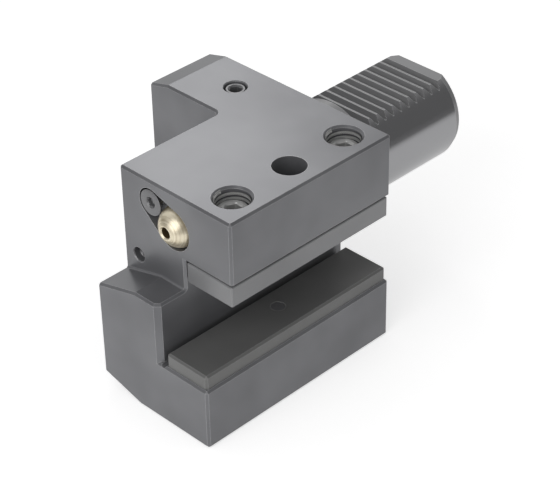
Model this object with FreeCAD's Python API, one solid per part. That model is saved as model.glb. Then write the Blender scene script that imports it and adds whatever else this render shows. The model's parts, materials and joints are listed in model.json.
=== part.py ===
import FreeCAD, Part
import math
import os

from FreeCAD import Vector

# Turret tool holder with a cylindrical serrated shank and a side slot for a square-shank turning tool.
# Millimetres. The origin lies on the shank's axis, in the face that seats on the turret.
# +Y runs along the shank, away from the body. +X points out of the slot. +Z points to the serrated flat.

# Shank
SHANK_R = 20.0
SHANK_LENGTH = 63.0
LEAD_LENGTH = 2.6
LEAD_DROP = 1.0
FLAT_HEIGHT = 16.0
FLAT_START = 17.0
TOOTH_PITCH = 4.0
TOOTH_GAPS = 10
TOOTH_DEPTH = 2.3
TOOTH_LAND = 0.9
TOOTH_FLANK_ANGLE = 30.0
FIRST_GAP = 20.8
CENTRE_MOUTH_R = 2.6
CENTRE_DRILL_R = 1.3
CENTRE_DRILL_DEPTH = 0.3

# Flange and arm
TOP = 32.5
BOTTOM = 48.0
SIDE = 42.5
FLANGE_THICKNESS = 28.5
FLANGE_FACET = 9.0
ARM_LEFT = 8.0
BLOCK_REACH = 72.5
JAW_REACH = 85.0
SHOULDER_DROP = 2.3
SHOULDER_KNEE = 10.0
UNDERSIDE_KNEE = 9.6
FACET_ANGLE = 15.0
ARM_FILLET = 2.5
SHOULDER_FILLET = 0.8
SLOT_CORNER = 1.8
EDGE = 0.8
SHARP_CORNER = 50.0

# Tool slot
SLOT_WALL = 21.0
SLOT_FLOOR = 25.0
SLOT_ROOF = 9.0
RELIEF_WIDTH = 2.2
RELIEF_DEPTH = 0.8

# Support plate under the tool
PLATE_THICKNESS = 5.0
PLATE_SIDE_GAP = 1.0
PLATE_FRONT_GAP = 1.0
PLATE_BACK_GAP = 0.6
PLATE_EDGE = 0.7
PLATE_SCREW_X = 31.0
PLATE_SCREW_Y = 41.5
PLATE_SCREW_R = 2.5
PLATE_SCREW_HOLE_R = 2.75
PLATE_SCREW_HEAD_R = 4.25
PLATE_SCREW_HEAD_HEIGHT = 5.0
PLATE_SCREW_HEAD_SUNK = 1.0
PLATE_SCREW_WELL_GAP = 0.5
PLATE_SCREW_END_GAP = 0.1
PLATE_SCREW_KEY = 4.0
PLATE_SCREW_KEY_DEPTH = 2.5
PLATE_PIN_R = 2.0
PLATE_PIN_SPACING = 52.0
PLATE_PIN_DEPTH = 8.0
PLATE_PIN_RISE = 3.5

# Clamp bar over the tool
BAR_THICKNESS = 7.5
BAR_SEAM = 0.2
BAR_WALL_GAP = 0.9
BAR_SIDE_GAP = 0.3
BAR_FRONT_GAP = 0.1
BAR_BACK_GAP = 1.0
BAR_EDGE = 0.35

# Clamp screws, in one row with the bar's own screw between them
ROW_X = 31.8
ROW_MIDDLE = 36.0
ROW_SPACING = 25.0
CLAMP_R = 6.0
CLAMP_LENGTH = 20.0
CLAMP_SPOT = 0.5
CLAMP_SPOT_R = 6.4
CLAMP_MOUTH_R = 6.8
CLAMP_TIP_R = 4.25
CLAMP_CHAMFER = 1.1
CLAMP_KEY = 6.0
CLAMP_KEY_DEPTH = 7.0

# Screw, spring and guide pins that carry the bar
BAR_SCREW_R = 3.0
BAR_SCREW_HOLE_R = 3.3
BAR_SCREW_HEAD_R = 5.0
BAR_SCREW_HEAD_HEIGHT = 6.0
BAR_SCREW_THREAD = 6.3
BAR_SCREW_KEY = 5.0
BAR_SCREW_KEY_DEPTH = 3.0
BAR_SCREW_WELL_R = 5.8
BAR_WEB = 2.5
SPRING_HEIGHT = 6.0
SPRING_WIRE_R = 0.36
SPRING_TURNS = 3
GUIDE_PIN_R = 2.5
GUIDE_PIN_DEPTH = 9.0
GUIDE_PIN_REACH = 6.4
GUIDE_PIN_SPACING = 25.0

# Swivelling coolant nozzle and its clamp screw
NOZZLE_X = 16.1
NOZZLE_Z = 18.8
BALL_R = 7.2
BALL_SUNK = 3.5
BALL_POCKET_R = 7.6
BALL_FLAT_R = 2.6
BALL_BORE_R = 1.9
BALL_BEVEL = 0.45
SEAL_RING_R = 4.3
SEAL_SECTION_R = 0.9
SEAL_HOUSING_DEPTH = 2.6
NOZZLE_SCREW_X = 6.3
NOZZLE_SCREW_Z = 24.4
NOZZLE_SCREW_R = 2.5
NOZZLE_SCREW_HEAD_R = 4.7
NOZZLE_SCREW_POCKET_R = 5.15
NOZZLE_SCREW_LENGTH = 14.0
NOZZLE_SCREW_KEY = 3.0
NOZZLE_SCREW_KEY_DEPTH = 1.8
POCKET_DEPTH = 3.6

# Coolant drillings, their plugs and the inlet in the turret face
RISER_R = 2.75
GALLERY_R = 2.5
NOZZLE_FEED_R = 2.25
GALLERY_SETBACK = 13.1
FEED_X = 16.2
PLUG_R = 4.0
PLUG_LENGTH = 8.0
PLUG_SUNK = 0.7
PLUG_KEY = 4.0
PLUG_KEY_DEPTH = 4.0
PLUG_MOUTH_FLARE = 0.3
FRONT_PORT_X = 1.0
FRONT_PORT_Z = 1.0
FRONT_PORT_R = 2.0
FRONT_PLUG_R = 2.5
FRONT_PLUG_LENGTH = 6.0
FRONT_PLUG_SUNK = 2.0
FRONT_PLUG_KEY = 2.5
FRONT_PLUG_KEY_DEPTH = 2.5
INLET_Z = 28.0
INLET_R = 3.5
INLET_SEAL_R = 5.6
INLET_SEAL_SECTION_R = 0.95

# Wiper ring round the root of the shank
ROOT_SEAL_SECTION_R = 1.2
ROOT_SEAL_PLACE = 7.6

# Fits, small bevels and how far a cutter runs past a face
FIT = 0.05
SEAT = 0.1
BEVEL = 0.4
PAST = 1.0

X_AXIS = Vector(1, 0, 0)
Y_AXIS = Vector(0, 1, 0)
Z_AXIS = Vector(0, 0, 1)

# Levels and places that follow from the sizes above
FACET_SLOPE = math.tan(math.radians(FACET_ANGLE))
FLOOR_Z = -SLOT_FLOOR
PLATE_TOP = FLOOR_Z + PLATE_THICKNESS
PLATE_LEFT = SLOT_WALL + RELIEF_WIDTH
PLATE_SCREW_HEAD_Z = -BOTTOM + PLATE_SCREW_HEAD_SUNK
PLATE_SCREW_NECK_Z = PLATE_SCREW_HEAD_Z + PLATE_SCREW_HEAD_HEIGHT
BAR_TOP = SLOT_ROOF - BAR_SEAM
BAR_BOTTOM = BAR_TOP - BAR_THICKNESS
BAR_LEFT = SLOT_WALL + BAR_WALL_GAP
SPRING_SEAT_Z = SLOT_ROOF + BAR_WEB
BAR_SCREW_NECK_Z = SPRING_SEAT_Z + SPRING_HEIGHT
CLAMP_TIP_Z = BAR_TOP - CLAMP_SPOT
BALL_Y = -BLOCK_REACH + BALL_SUNK
SEAL_Y = BALL_Y + math.sqrt((BALL_R + SEAL_SECTION_R + FIT) ** 2 - SEAL_RING_R ** 2)
SEAL_FLOOR_Y = SEAL_Y + SEAL_SECTION_R + SEAT
SEAL_HOUSING_R = SEAL_RING_R + SEAL_SECTION_R + SEAT
GALLERY_Y = -GALLERY_SETBACK

# Places along Y of what stands in pairs
CLAMP_PLACES = {"front": -ROW_MIDDLE - ROW_SPACING, "rear": -ROW_MIDDLE + ROW_SPACING}
GUIDE_PLACES = {"front": -ROW_MIDDLE - GUIDE_PIN_SPACING / 2, "rear": -ROW_MIDDLE + GUIDE_PIN_SPACING / 2}
PLATE_PIN_PLACES = {"front": -PLATE_SCREW_Y - PLATE_PIN_SPACING / 2,
                    "rear": -PLATE_SCREW_Y + PLATE_PIN_SPACING / 2}


def box(x0, x1, y0, y1, z0, z1):
    return Part.makeBox(x1 - x0, y1 - y0, z1 - z0, Vector(x0, y0, z0))


def flat_face(corners):
    return Part.Face(Part.makePolygon(corners + corners[:1]))


def along_shank(points, y0, y1):
    """A solid with one outline, given as (x, z) points, from y0 to y1."""
    return flat_face([Vector(x, y0, z) for x, z in points]).extrude(Vector(0, y1 - y0, 0))


def turned(points, at, along):
    """A solid of revolution from (radius, height) points, standing at a point along a direction."""
    solid = flat_face([Vector(r, 0, h) for r, h in points]).revolve(Vector(0, 0, 0), Z_AXIS, 360)
    solid.Placement = FreeCAD.Placement(at, FreeCAD.Rotation(Z_AXIS, along))
    return solid


def upright(points, x, y):
    """A solid of revolution from (radius, z) points, round a vertical axis."""
    return turned(points, Vector(x, y, 0), Z_AXIS)


def rod(radius, x, y, z0, z1):
    """A vertical round bar, or the cutter for a vertical bore."""
    return Part.makeCylinder(radius, z1 - z0, Vector(x, y, z0), Z_AXIS)


def hexagon(width, length, at, along):
    """A hexagonal prism, measured across its flats."""
    radius = width / math.sqrt(3)
    angles = [math.radians(60 * i) for i in range(6)]
    outline = flat_face([Vector(radius * math.cos(a), radius * math.sin(a), 0) for a in angles])
    prism = outline.extrude(Vector(0, 0, length))
    prism.Placement = FreeCAD.Placement(at, FreeCAD.Rotation(Z_AXIS, along))
    return prism


def is_corner(solid, edge, sharpest):
    """True for a straight outer edge whose two faces turn by more than the given angle."""
    faces = [face for face in solid.Faces if any(edge.isSame(other) for other in face.Edges)]
    if len(faces) != 2 or not isinstance(edge.Curve, Part.Line):
        return False
    middle = edge.valueAt((edge.FirstParameter + edge.LastParameter) / 2)
    normals = [face.normalAt(*face.Surface.parameter(middle)) for face in faces]
    if math.degrees(normals[0].getAngle(normals[1])) < sharpest:
        return False
    probe = middle + (normals[0] - normals[1]) * FIT
    return not solid.isInside(probe, FIT / 10, True)


def break_edges(solid, size, wanted):
    return solid.makeChamfer(size, [edge for edge in solid.Edges if wanted(edge)])


def round_edges(solid, radius, wanted):
    return solid.makeFillet(radius, [edge for edge in solid.Edges if wanted(edge)])


def slot_side():
    """The open side of the C: right-hand corners from the block's top down to the jaw's foot."""
    return [(SIDE, TOP), (SIDE, SLOT_ROOF), (SLOT_WALL, SLOT_ROOF), (SLOT_WALL, FLOOR_Z), (SIDE, FLOOR_Z),
            (SIDE, -BOTTOM)]


def arm_foot():
    """The jaw's underside, which rises to the left."""
    rise = (UNDERSIDE_KNEE + ARM_LEFT) * FACET_SLOPE
    return [(UNDERSIDE_KNEE, -BOTTOM), (-ARM_LEFT, -BOTTOM + rise)]


def arm_outline():
    return [(-ARM_LEFT, TOP)] + slot_side() + arm_foot()


def jaw_outline():
    """The lower jaw and its sloping shoulder, which reach past the block."""
    fall = (SHOULDER_KNEE + ARM_LEFT) * FACET_SLOPE
    level = -SHOULDER_DROP
    shoulder = [(-ARM_LEFT, level - fall), (SHOULDER_KNEE, level), (SLOT_WALL, level)]
    return shoulder + slot_side()[3:] + arm_foot()


def flange_outline():
    fall = FLANGE_FACET * FACET_SLOPE
    knee = -SIDE + FLANGE_FACET
    return [(-SIDE, TOP - fall), (knee, TOP)] + slot_side() + [(knee, -BOTTOM), (-SIDE, -BOTTOM + fall)]


def body_blank():
    """Flange and arm with their outer edges broken, before any hole."""
    arm = along_shank(arm_outline(), -BLOCK_REACH, -FLANGE_THICKNESS / 2)
    jaw = along_shank(jaw_outline(), -JAW_REACH, -BLOCK_REACH / 2)
    flange = along_shank(flange_outline(), -FLANGE_THICKNESS, 0)
    blank = arm.fuse([jaw, flange]).removeSplitter()

    def is_at(edge, x, y):
        return abs(edge.CenterOfMass.x - x) < FIT and abs(edge.CenterOfMass.y - y) < FIT

    def is_behind_shoulder(edge):
        centre = edge.CenterOfMass
        on_front = abs(centre.y + BLOCK_REACH) < FIT
        return on_front and centre.x < SLOT_WALL - FIT and centre.z < FIT - SHOULDER_DROP

    blank = round_edges(blank, ARM_FILLET, lambda edge: is_at(edge, -ARM_LEFT, -FLANGE_THICKNESS))
    blank = round_edges(blank, SHOULDER_FILLET, is_behind_shoulder)
    blank = break_edges(blank, SLOT_CORNER, lambda edge: is_at(edge, SLOT_WALL, -JAW_REACH))
    return break_edges(blank, EDGE, lambda edge: is_corner(blank, edge, SHARP_CORNER))


def tooth_gap(y):
    """One gap between two teeth: a blunt V across the flat."""
    half_mouth = (TOOTH_PITCH - TOOTH_LAND) / 2
    flank = math.tan(math.radians(TOOTH_FLANK_ANGLE))
    low = half_mouth - TOOTH_DEPTH * flank
    high = half_mouth + PAST * flank
    root_z = FLAT_HEIGHT - TOOTH_DEPTH
    top_z = FLAT_HEIGHT + PAST
    outline = [(y - low, root_z), (y + low, root_z), (y + high, top_z), (y - high, top_z)]
    return flat_face([Vector(-SHANK_R, place, z) for place, z in outline]).extrude(X_AXIS * 2 * SHANK_R)


def centre_hole():
    """Centre hole in the end of the shank, on which it is turned and ground."""
    cone_start = SHANK_LENGTH - (CENTRE_MOUTH_R - CENTRE_DRILL_R) * math.sqrt(3)
    drill_end = cone_start - CENTRE_DRILL_DEPTH
    above = SHANK_LENGTH + PAST
    outline = [(0, drill_end), (CENTRE_DRILL_R, drill_end), (CENTRE_DRILL_R, cone_start),
               (CENTRE_MOUTH_R, SHANK_LENGTH), (CENTRE_MOUTH_R, above), (0, above)]
    return turned(outline, Vector(0, 0, 0), Y_AXIS)


def shank():
    """Turned bar with a wiper groove and a lead taper, then the serrated flat."""
    half = ROOT_SEAL_SECTION_R + SEAT
    groove_r = SHANK_R - 2 * half
    near = ROOT_SEAL_PLACE - half
    far = ROOT_SEAL_PLACE + half
    root = -FLANGE_THICKNESS / 2
    outline = [(0, root), (SHANK_R, root), (SHANK_R, near), (groove_r, near), (groove_r, far),
               (SHANK_R, far), (SHANK_R, SHANK_LENGTH - LEAD_LENGTH), (SHANK_R - LEAD_DROP, SHANK_LENGTH),
               (0, SHANK_LENGTH)]
    bar = turned(outline, Vector(0, 0, 0), Y_AXIS)
    # The wall's seam lies 67.5 degrees beside the flat, where even steps round from it miss the flat.
    bar.rotate(Vector(0, 0, 0), Y_AXIS, -22.5)
    flat = box(-SHANK_R, SHANK_R, FLAT_START, SHANK_LENGTH + PAST, FLAT_HEIGHT, SHANK_R + PAST)
    gaps = [tooth_gap(FIRST_GAP + i * TOOTH_PITCH) for i in range(TOOTH_GAPS)]
    return bar.cut([centre_hole(), flat] + gaps)


def clamp_hole(y):
    """Tapped hole through the block, countersunk at the top."""
    bore = CLAMP_R + FIT
    start = SLOT_ROOF - PAST
    flare_z = TOP - (CLAMP_MOUTH_R - bore)
    return upright([(0, start), (bore, start), (bore, flare_z), (CLAMP_MOUTH_R, TOP),
                    (CLAMP_MOUTH_R, TOP + PAST), (0, TOP + PAST)], ROW_X, y)


def bar_screw_well():
    """Well for the head and the spring, with a clearance hole through its web."""
    start = SLOT_ROOF - PAST
    return upright([(0, start), (BAR_SCREW_HOLE_R, start), (BAR_SCREW_HOLE_R, SPRING_SEAT_Z),
                    (BAR_SCREW_WELL_R, SPRING_SEAT_Z), (BAR_SCREW_WELL_R, TOP + PAST), (0, TOP + PAST)],
                   ROW_X, -ROW_MIDDLE)


def corner_relief():
    """Round-bottomed groove where the slot's wall meets its floor, so that a sharp tool edge seats."""
    radius = RELIEF_WIDTH / 2
    centre_z = FLOOR_Z - RELIEF_DEPTH + radius
    start = -JAW_REACH - PAST
    groove = Part.makeCylinder(radius, PAST - start, Vector(SLOT_WALL + radius, start, centre_z), Y_AXIS)
    return groove.fuse(box(SLOT_WALL, PLATE_LEFT, start, PAST, centre_z, FLOOR_Z + radius))


def plate_screw_hole():
    """Stepped hole from below for the screw that holds the plate."""
    bore = PLATE_SCREW_HOLE_R
    well = PLATE_SCREW_HEAD_R + PLATE_SCREW_WELL_GAP
    neck = PLATE_SCREW_NECK_Z
    start = -BOTTOM - PAST
    end = FLOOR_Z + PAST
    return upright([(0, start), (well, start), (well, neck), (bore, neck), (bore, end), (0, end)],
                   PLATE_SCREW_X, -PLATE_SCREW_Y)


def pear_pocket():
    """Pocket whose outline wraps the screw's head and the ball with two common tangents."""
    small = Vector(NOZZLE_SCREW_X, -BLOCK_REACH - PAST, NOZZLE_SCREW_Z)
    large = Vector(NOZZLE_X, -BLOCK_REACH - PAST, NOZZLE_Z)
    towards = large - small
    lean = math.acos((BALL_POCKET_R - NOZZLE_SCREW_POCKET_R) / towards.Length)
    heading = math.atan2(towards.z, towards.x)

    def rim(centre, radius, turn):
        angle = heading + turn
        return centre + Vector(math.cos(angle), 0, math.sin(angle)) * radius

    head = [rim(small, NOZZLE_SCREW_POCKET_R, turn) for turn in (math.pi - lean, math.pi, math.pi + lean)]
    ball = [rim(large, BALL_POCKET_R, turn) for turn in (lean - math.pi, 0, math.pi - lean)]
    lower_side = Part.LineSegment(head[2], ball[0])
    upper_side = Part.LineSegment(ball[2], head[0])
    curves = [Part.Arc(*head), lower_side, Part.Arc(*ball), upper_side]
    outline = Part.Wire([curve.toShape() for curve in curves])
    return Part.Face(outline).extrude(Vector(0, POCKET_DEPTH + PAST, 0))


def ball_seat():
    """Stepped bore behind the ball: a taper that clears it, the seal's housing and the coolant drilling."""
    wide = BALL_R + SEAT
    housing_y = SEAL_FLOOR_Y - SEAL_HOUSING_DEPTH
    taper_y = housing_y - (wide - SEAL_HOUSING_R)
    return turned([(0, -BLOCK_REACH), (wide, -BLOCK_REACH), (wide, taper_y), (SEAL_HOUSING_R, housing_y),
                   (SEAL_HOUSING_R, SEAL_FLOOR_Y), (NOZZLE_FEED_R, SEAL_FLOOR_Y), (NOZZLE_FEED_R, GALLERY_Y),
                   (0, GALLERY_Y + NOZZLE_FEED_R)], Vector(NOZZLE_X, 0, NOZZLE_Z), Y_AXIS)


def nozzle_screw_hole():
    start = Vector(NOZZLE_SCREW_X, -BLOCK_REACH - PAST, NOZZLE_SCREW_Z)
    return Part.makeCylinder(NOZZLE_SCREW_R + FIT, NOZZLE_SCREW_LENGTH + 2 * PAST, start, Y_AXIS)


def plugged_drilling(plug_r, plug_end, drill_r, length, at, along):
    """A drilling whose mouth is tapped for a plug and lightly countersunk."""
    bore = plug_r + FIT
    mouth = bore + PLUG_MOUTH_FLARE
    return turned([(0, -PAST), (mouth, -PAST), (mouth, 0), (bore, PLUG_MOUTH_FLARE), (bore, plug_end),
                   (drill_r, plug_end), (drill_r, length), (0, length + drill_r)], at, along)


def gallery(drill_r, length, at, along):
    return plugged_drilling(PLUG_R, PLUG_SUNK + PLUG_LENGTH + SEAT, drill_r, length, at, along)


def inlet():
    """Mouth of the coolant feed in the turret face, with a step for its seal."""
    seal_r = INLET_SEAL_R + INLET_SEAL_SECTION_R + SEAT
    seal_depth = 2 * INLET_SEAL_SECTION_R + SEAT
    outline = [(0, -PAST), (seal_r, -PAST), (seal_r, seal_depth), (INLET_R, seal_depth),
               (INLET_R, GALLERY_SETBACK), (0, GALLERY_SETBACK + INLET_R)]
    return turned(outline, Vector(-FEED_X, 0, -INLET_Z), -Y_AXIS)


def coolant_drillings():
    """Inlet, riser and two cross drillings, and the port that opens beside the shoulder."""
    riser = gallery(RISER_R, TOP + INLET_Z, Vector(-FEED_X, GALLERY_Y, TOP), -Z_AXIS)
    upper = gallery(GALLERY_R, SIDE + NOZZLE_X, Vector(-SIDE, GALLERY_Y, NOZZLE_Z), X_AXIS)
    lower = gallery(GALLERY_R, SIDE - FRONT_PORT_X, Vector(-SIDE, GALLERY_Y, FRONT_PORT_Z), X_AXIS)
    port_at = Vector(-FRONT_PORT_X, -BLOCK_REACH, FRONT_PORT_Z)
    port_plug_end = FRONT_PLUG_SUNK + FRONT_PLUG_LENGTH + SEAT
    port_length = BLOCK_REACH - GALLERY_SETBACK
    port = plugged_drilling(FRONT_PLUG_R, port_plug_end, FRONT_PORT_R, port_length, port_at, Y_AXIS)
    return [riser, upper, lower, port, inlet()]


def holder_body():
    """Shank, flange, block and jaw from one piece of steel, with every hole in it."""
    blank = body_blank().fuse(shank()).removeSplitter()
    holes = [clamp_hole(y) for y in CLAMP_PLACES.values()]
    for y in GUIDE_PLACES.values():
        holes.append(rod(GUIDE_PIN_R + FIT, ROW_X, y, SLOT_ROOF - PAST, SLOT_ROOF + GUIDE_PIN_DEPTH))
    for y in PLATE_PIN_PLACES.values():
        holes.append(rod(PLATE_PIN_R + FIT, PLATE_SCREW_X, y, FLOOR_Z - PLATE_PIN_DEPTH, FLOOR_Z + PAST))
    holes += [bar_screw_well(), corner_relief(), plate_screw_hole()]
    holes += [pear_pocket(), ball_seat(), nozzle_screw_hole()]
    holes += coolant_drillings()
    return blank.cut(holes)


def support_plate():
    """Plate with broken upper edges, the thread of its screw and blind bores for its two pins."""
    front = -JAW_REACH + PLATE_FRONT_GAP
    plate = box(PLATE_LEFT, SIDE - PLATE_SIDE_GAP, front, -PLATE_BACK_GAP, FLOOR_Z, PLATE_TOP)
    plate = break_edges(plate, PLATE_EDGE, lambda edge: edge.CenterOfMass.z > FLOOR_Z + FIT)
    below = FLOOR_Z - PAST
    holes = [rod(PLATE_SCREW_R + FIT, PLATE_SCREW_X, -PLATE_SCREW_Y, below, PLATE_TOP + PAST)]
    for y in PLATE_PIN_PLACES.values():
        holes.append(rod(PLATE_PIN_R + FIT, PLATE_SCREW_X, y, below, FLOOR_Z + PLATE_PIN_RISE + SEAT))
    return plate.cut(holes)


def clamp_bar():
    """Bar with broken edges, a spot for each clamp screw, guide bores and the thread of its own screw."""
    front = -BLOCK_REACH + BAR_FRONT_GAP
    bar = box(BAR_LEFT, SIDE - BAR_SIDE_GAP, front, -BAR_BACK_GAP, BAR_BOTTOM, BAR_TOP)
    bar = break_edges(bar, BAR_EDGE, lambda edge: True)
    above = BAR_TOP + PAST
    holes = [rod(CLAMP_SPOT_R, ROW_X, y, CLAMP_TIP_Z, above) for y in CLAMP_PLACES.values()]
    for y in GUIDE_PLACES.values():
        holes.append(rod(GUIDE_PIN_R + FIT, ROW_X, y, SLOT_ROOF - GUIDE_PIN_REACH - SEAT, above))
    holes.append(rod(BAR_SCREW_R + FIT, ROW_X, -ROW_MIDDLE, BAR_TOP - BAR_SCREW_THREAD - SEAT, above))
    return bar.cut(holes)


def clamp_screw(y):
    """Headless screw with a hexagon socket, a bevelled top and a flat tip that bears on the bar."""
    top = CLAMP_TIP_Z + CLAMP_LENGTH
    tip_bevel = CLAMP_R - CLAMP_TIP_R
    blank = upright([(0, CLAMP_TIP_Z), (CLAMP_TIP_R, CLAMP_TIP_Z), (CLAMP_R, CLAMP_TIP_Z + tip_bevel),
                     (CLAMP_R, top - CLAMP_CHAMFER), (CLAMP_R - CLAMP_CHAMFER, top), (0, top)], ROW_X, y)
    socket_floor = Vector(ROW_X, y, top - CLAMP_KEY_DEPTH)
    return blank.cut(hexagon(CLAMP_KEY, CLAMP_KEY_DEPTH + PAST, socket_floor, Z_AXIS))


def bar_screw():
    """Socket-head screw, threaded into the bar, whose head rides on the spring."""
    base = BAR_TOP - BAR_SCREW_THREAD
    neck = BAR_SCREW_NECK_Z
    top = neck + BAR_SCREW_HEAD_HEIGHT
    radius = BAR_SCREW_R
    head = BAR_SCREW_HEAD_R
    blank = upright([(0, base), (radius - BEVEL, base), (radius, base + BEVEL), (radius, neck), (head, neck),
                     (head, top - BEVEL), (head - BEVEL, top), (0, top)], ROW_X, -ROW_MIDDLE)
    socket_floor = Vector(ROW_X, -ROW_MIDDLE, top - BAR_SCREW_KEY_DEPTH)
    return blank.cut(hexagon(BAR_SCREW_KEY, BAR_SCREW_KEY_DEPTH + PAST, socket_floor, Z_AXIS))


def lift_spring():
    """Short compression spring round the bar's screw, from the well's web to the head."""
    coil_r = (BAR_SCREW_R + BAR_SCREW_WELL_R) / 2
    rise = SPRING_HEIGHT - 2 * SPRING_WIRE_R - 2 * SEAT
    path = Part.makeHelix(rise / SPRING_TURNS, rise, coil_r)
    section = Part.Wire(Part.Circle(Vector(coil_r, 0, 0), Y_AXIS, SPRING_WIRE_R).toShape())
    wire = Part.Wire(path.Edges).makePipeShell([section], True, True)
    wire.translate(Vector(ROW_X, -ROW_MIDDLE, SPRING_SEAT_Z + SPRING_WIRE_R + SEAT))
    return wire


def pin(radius, x, y, z0, z1):
    """Dowel with both ends bevelled."""
    return upright([(0, z0), (radius - BEVEL, z0), (radius, z0 + BEVEL), (radius, z1 - BEVEL),
                    (radius - BEVEL, z1), (0, z1)], x, y)


def plate_screw():
    """Socket-head screw from below, which draws the plate down on the slot's floor."""
    base = PLATE_SCREW_HEAD_Z
    neck = PLATE_SCREW_NECK_Z
    end = PLATE_TOP - PLATE_SCREW_END_GAP
    radius = PLATE_SCREW_R
    head = PLATE_SCREW_HEAD_R
    blank = upright([(0, base), (head - BEVEL, base), (head, base + BEVEL), (head, neck), (radius, neck),
                     (radius, end - BEVEL), (radius - BEVEL, end), (0, end)], PLATE_SCREW_X, -PLATE_SCREW_Y)
    mouth = Vector(PLATE_SCREW_X, -PLATE_SCREW_Y, base - PAST)
    return blank.cut(hexagon(PLATE_SCREW_KEY, PLATE_SCREW_KEY_DEPTH + PAST, mouth, Z_AXIS))


def nozzle_ball():
    """Ball with a through bore and a flat, bevelled mouth."""
    centre = Vector(NOZZLE_X, BALL_Y, NOZZLE_Z)
    reach = math.sqrt(BALL_R ** 2 - BALL_FLAT_R ** 2)
    mouth_at = centre - Y_AXIS * reach
    ahead = Part.makeCylinder(BALL_R, BALL_R, mouth_at, -Y_AXIS)
    bore = Part.makeCylinder(BALL_BORE_R, 2 * (BALL_R + PAST), centre - Y_AXIS * (BALL_R + PAST), Y_AXIS)
    wide = BALL_BORE_R + BALL_BEVEL
    mouth = turned([(0, -PAST), (wide, -PAST), (wide, 0), (BALL_BORE_R, BALL_BEVEL), (0, BALL_BEVEL)],
                   mouth_at, Y_AXIS)
    return Part.makeSphere(BALL_R, centre).cut([ahead, bore, mouth])


def nozzle_seal():
    return Part.makeTorus(SEAL_RING_R, SEAL_SECTION_R, Vector(NOZZLE_X, SEAL_Y, NOZZLE_Z), Y_AXIS)


def nozzle_screw():
    """Countersunk screw whose cone bears on the ball."""
    radius = NOZZLE_SCREW_R
    cone = NOZZLE_SCREW_HEAD_R - radius
    end = NOZZLE_SCREW_LENGTH
    at = Vector(NOZZLE_SCREW_X, -BLOCK_REACH, NOZZLE_SCREW_Z)
    blank = turned([(0, 0), (NOZZLE_SCREW_HEAD_R, 0), (radius, cone), (radius, end - BEVEL),
                    (radius - BEVEL, end), (0, end)], at, Y_AXIS)
    return blank.cut(hexagon(NOZZLE_SCREW_KEY, NOZZLE_SCREW_KEY_DEPTH + PAST, at - Y_AXIS * PAST, Y_AXIS))


def plug(radius, length, key, key_depth, at, along):
    """Headless plug screw whose outer end lies at a point and which runs inwards along a direction."""
    blank = turned([(0, 0), (radius - BEVEL, 0), (radius, BEVEL), (radius, length - BEVEL),
                    (radius - BEVEL, length), (0, length)], at, along)
    return blank.cut(hexagon(key, key_depth + PAST, at - along * PAST, along))


def gallery_plug(mouth, along):
    return plug(PLUG_R, PLUG_LENGTH, PLUG_KEY, PLUG_KEY_DEPTH, mouth + along * PLUG_SUNK, along)


def front_plug():
    at = Vector(-FRONT_PORT_X, -BLOCK_REACH + FRONT_PLUG_SUNK, FRONT_PORT_Z)
    return plug(FRONT_PLUG_R, FRONT_PLUG_LENGTH, FRONT_PLUG_KEY, FRONT_PLUG_KEY_DEPTH, at, Y_AXIS)


def inlet_seal():
    centre = Vector(-FEED_X, -INLET_SEAL_SECTION_R - SEAT, -INLET_Z)
    return Part.makeTorus(INLET_SEAL_R, INLET_SEAL_SECTION_R, centre, Y_AXIS)


def root_seal():
    radius = SHANK_R - ROOT_SEAL_SECTION_R - SEAT
    return Part.makeTorus(radius, ROOT_SEAL_SECTION_R, Vector(0, ROOT_SEAL_PLACE, 0), Y_AXIS)


def all_pieces():
    pieces = {
        "holder_body": holder_body(),
        "support_plate": support_plate(),
        "plate_screw": plate_screw(),
        "clamp_bar": clamp_bar(),
        "bar_screw": bar_screw(),
        "lift_spring": lift_spring(),
        "nozzle_ball": nozzle_ball(),
        "nozzle_seal": nozzle_seal(),
        "nozzle_screw": nozzle_screw(),
        "top_plug": gallery_plug(Vector(-FEED_X, GALLERY_Y, TOP), -Z_AXIS),
        "side_plug_upper": gallery_plug(Vector(-SIDE, GALLERY_Y, NOZZLE_Z), X_AXIS),
        "side_plug_lower": gallery_plug(Vector(-SIDE, GALLERY_Y, FRONT_PORT_Z), X_AXIS),
        "front_plug": front_plug(),
        "inlet_seal": inlet_seal(),
        "root_seal": root_seal(),
    }
    for name, y in CLAMP_PLACES.items():
        pieces["clamp_screw_" + name] = clamp_screw(y)
    guide_z = SLOT_ROOF - GUIDE_PIN_REACH
    for name, y in GUIDE_PLACES.items():
        pieces["guide_pin_" + name] = pin(GUIDE_PIN_R, ROW_X, y, guide_z, SLOT_ROOF + GUIDE_PIN_DEPTH - SEAT)
    for name, y in PLATE_PIN_PLACES.items():
        foot = FLOOR_Z - PLATE_PIN_DEPTH + SEAT
        pieces["plate_pin_" + name] = pin(PLATE_PIN_R, PLATE_SCREW_X, y, foot, FLOOR_Z + PLATE_PIN_RISE)
    return pieces


os.makedirs("parts", exist_ok=True)
for name, shape in all_pieces().items():
    solids = shape.Solids
    print(name, "solids", len(solids), "valid", shape.isValid(), "volume", round(shape.Volume, 2))
    whole = solids[0] if len(solids) == 1 else Part.makeCompound(solids)
    whole.exportStep("parts/" + name + ".step")
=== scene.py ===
# %% [markdown]
# # A turret tool holder, dressed on its solids
# The holder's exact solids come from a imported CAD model, which is called the frame. Blender adds what a solid
# model leaves out: ground and blackened steel, dulled brass, real screw threads, a wound spring and the light
# of a product photograph. Everything is in metres, in the same axes as the solids, so nothing has to be fitted.
# The shank runs along +Y, the tool slot opens to +X and the serrated flat faces +Z.

# %% Load the frame and keep its box
import json
import math

import bpy
from mathutils import Matrix, Vector


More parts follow.
